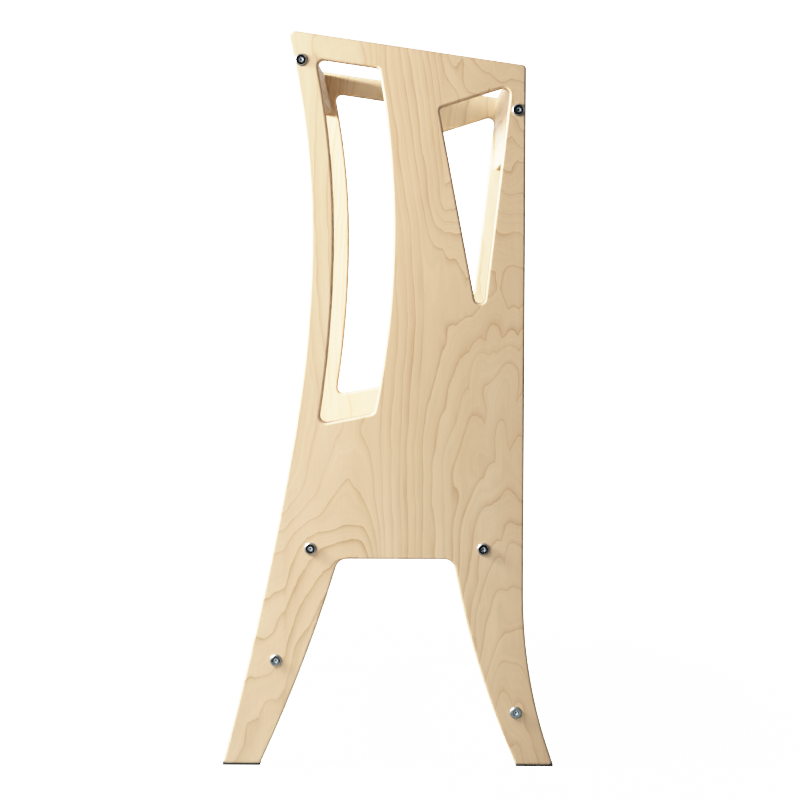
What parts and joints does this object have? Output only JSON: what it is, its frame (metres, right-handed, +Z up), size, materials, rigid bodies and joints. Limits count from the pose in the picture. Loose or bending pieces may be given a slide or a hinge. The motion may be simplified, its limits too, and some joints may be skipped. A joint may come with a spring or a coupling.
{
  "type": "learning tower",
  "caption": "Birch plywood learning tower: shaped side panels with window cut-outs and splayed legs, joined by bolted top rails, a standing platform, a rear step and a stretcher.",
  "frame": {"origin": "on the floor, under the middle of the tower", "axes": "+X towards the worktop, away from the step; +Y to the child's left; +Z up"},
  "size_m": [0.41, 0.405, 0.8998],
  "materials": {
    "birch_plywood": "satin lacquer",
    "nickel_plated_bolt": "polished",
    "zinc_plated_nut": "satin",
    "beech_dowel": "raw",
    "rubber_pad": "matt"
  },
  "bodies": {
    "root": {"front_foot_pad_left": "rubber_pad", "front_foot_pad_right": "rubber_pad", "front_stretcher": "birch_plywood", "front_stretcher_barrel_nut_left": "zinc_plated_nut", "front_stretcher_barrel_nut_right": "zinc_plated_nut", "front_stretcher_bolt_left": "nickel_plated_bolt", "front_stretcher_bolt_right": "nickel_plated_bolt", "front_stretcher_lower_dowel_left": "beech_dowel", "front_stretcher_lower_dowel_right": "beech_dowel", "front_stretcher_upper_dowel_left": "beech_dowel", "front_stretcher_upper_dowel_right": "beech_dowel", "front_top_rail": "birch_plywood", "front_top_rail_barrel_nut_left": "zinc_plated_nut", "front_top_rail_barrel_nut_right": "zinc_plated_nut", "front_top_rail_bolt_left": "nickel_plated_bolt", "front_top_rail_bolt_right": "nickel_plated_bolt", "front_top_rail_lower_dowel_left": "beech_dowel", "front_top_rail_lower_dowel_right": "beech_dowel", "front_top_rail_upper_dowel_left": "beech_dowel", "front_top_rail_upper_dowel_right": "beech_dowel", "left_side_panel": "birch_plywood", "platform": "birch_plywood", "platform_front_barrel_nut_left": "zinc_plated_nut", "platform_front_barrel_nut_right": "zinc_plated_nut", "platform_front_bolt_left": "nickel_plated_bolt", "platform_front_bolt_right": "nickel_plated_bolt", "platform_front_dowel_left": "beech_dowel", "platform_front_dowel_right": "beech_dowel", "platform_rear_barrel_nut_left": "zinc_plated_nut", "platform_rear_barrel_nut_right": "zinc_plated_nut", "platform_rear_bolt_left": "nickel_plated_bolt", "platform_rear_bolt_right": "nickel_plated_bolt", "platform_rear_dowel_left": "beech_dowel", "platform_rear_dowel_right": "beech_dowel", "rear_foot_pad_left": "rubber_pad", "rear_foot_pad_right": "rubber_pad", "rear_step": "birch_plywood", "rear_step_barrel_nut_left": "zinc_plated_nut", "rear_step_barrel_nut_right": "zinc_plated_nut", "rear_step_bolt_left": "nickel_plated_bolt", "rear_step_bolt_right": "nickel_plated_bolt", "rear_step_front_dowel_left": "beech_dowel", "rear_step_front_dowel_right": "beech_dowel", "rear_step_rear_dowel_left": "beech_dowel", "rear_step_rear_dowel_right": "beech_dowel", "rear_top_rail": "birch_plywood", "rear_top_rail_barrel_nut_left": "zinc_plated_nut", "rear_top_rail_barrel_nut_right": "zinc_plated_nut", "rear_top_rail_bolt_left": "nickel_plated_bolt", "rear_top_rail_bolt_right": "nickel_plated_bolt", "rear_top_rail_lower_dowel_left": "beech_dowel", "rear_top_rail_lower_dowel_right": "beech_dowel", "rear_top_rail_upper_dowel_left": "beech_dowel", "rear_top_rail_upper_dowel_right": "beech_dowel", "right_side_panel": "birch_plywood"}
  },
  "joints": []
}
